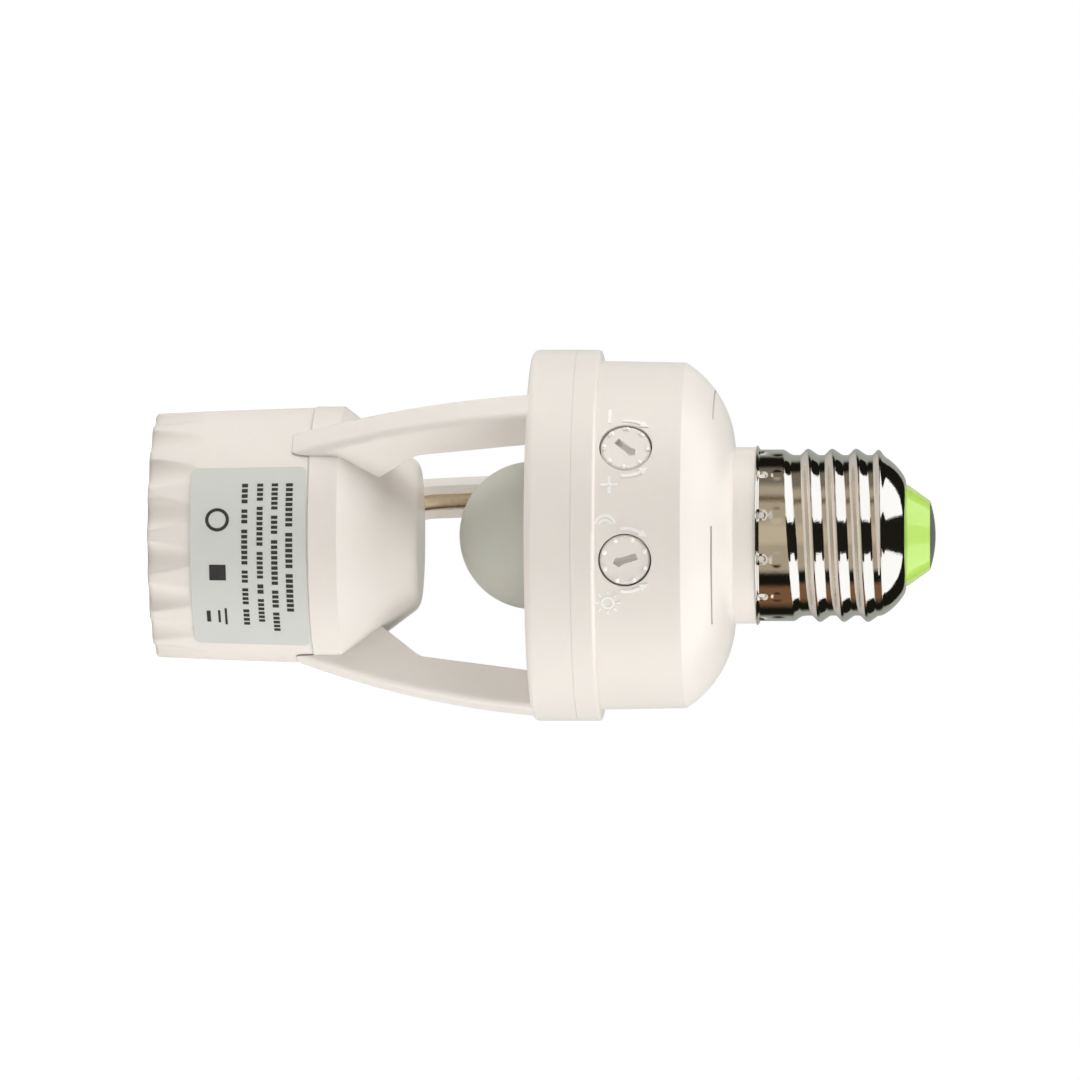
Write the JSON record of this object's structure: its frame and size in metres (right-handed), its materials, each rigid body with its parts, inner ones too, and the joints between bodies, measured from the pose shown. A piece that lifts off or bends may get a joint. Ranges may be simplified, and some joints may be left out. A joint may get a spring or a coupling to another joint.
{
  "type": "motion sensor lamp holder",
  "caption": "Motion sensor lamp holder with a screw cap, a domed sensor lens in an open arm cage, trimmer dials and a fluted lamp socket.",
  "frame": {"origin": "centre of the lamp socket's mouth, in the plane that the holder stands on", "axes": "+Z along the axis from the lamp socket's mouth towards the screw cap's contact, -Y towards the side with the dials and the label"},
  "size_m": [0.0562, 0.0562, 0.1179],
  "materials": {
    "housing_plastic": "satin moulded",
    "dial_plastic": "satin moulded",
    "label_film": "printed film, silver grey",
    "lens_film": "milky, matt",
    "nickel": "bright plated",
    "brass": "rolled sheet",
    "insulator_green": "glassy",
    "solder": "dull grey",
    "phenolic": "moulded insulator",
    "board_laminate": "solder mask",
    "steel": "zinc plated",
    "sensor_can": "plated can",
    "blue_case": "moulded case",
    "yellow_case": "moulded case",
    "black_case": "moulded case",
    "capacitor_sleeve": "shrunk film",
    "resistor_coat": "lacquer",
    "photocell_face": "coated disc",
    "tan_sleeve": "woven glass sleeve",
    "lead_cover": "cable cover"
  },
  "bodies": {
    "holder": {"socket_cup": "housing_plastic", "rating_label": "label_film", "lamp_screw_shell": "nickel", "socket_base": "phenolic", "lamp_contact": "brass", "socket_rivets": "brass", "front_cover": "housing_plastic", "lens_dome": "lens_film", "rear_housing": "housing_plastic", "time_potentiometer": "blue_case", "lux_potentiometer": "blue_case", "cap_shell": "nickel", "cap_insulator": "insulator_green", "cap_contact": "solder", "circuit_board": "board_laminate", "board_screws": "steel", "pir_sensor": "sensor_can", "photocell": "photocell_face", "relay": "blue_case", "film_capacitor": "yellow_case", "bridge_rectifier": "black_case", "smoothing_capacitor": "capacitor_sleeve", "timing_capacitor": "capacitor_sleeve", "controller_chip": "black_case", "fuse_resistor": "resistor_coat", "live_lamp_lead": "tan_sleeve", "neutral_lamp_lead": "tan_sleeve", "live_cap_lead": "lead_cover", "neutral_cap_lead": "lead_cover"},
    "time_dial": {"time_dial": "dial_plastic"},
    "lux_dial": {"lux_dial": "dial_plastic"}
  },
  "joints": [
    {"name": "time_dial_turn", "type": "hinge", "parent": "holder", "child": "time_dial", "pos_m": [-0.013, -0.02252, 0.072], "axis": [-0.5, -0.866, 0], "range_deg": [-94, 176]},
    {"name": "lux_dial_turn", "type": "hinge", "parent": "holder", "child": "lux_dial", "pos_m": [0.00371, -0.02573, 0.072], "axis": [0.1426, -0.9898, 0], "range_deg": [-152, 118]}
  ]
}
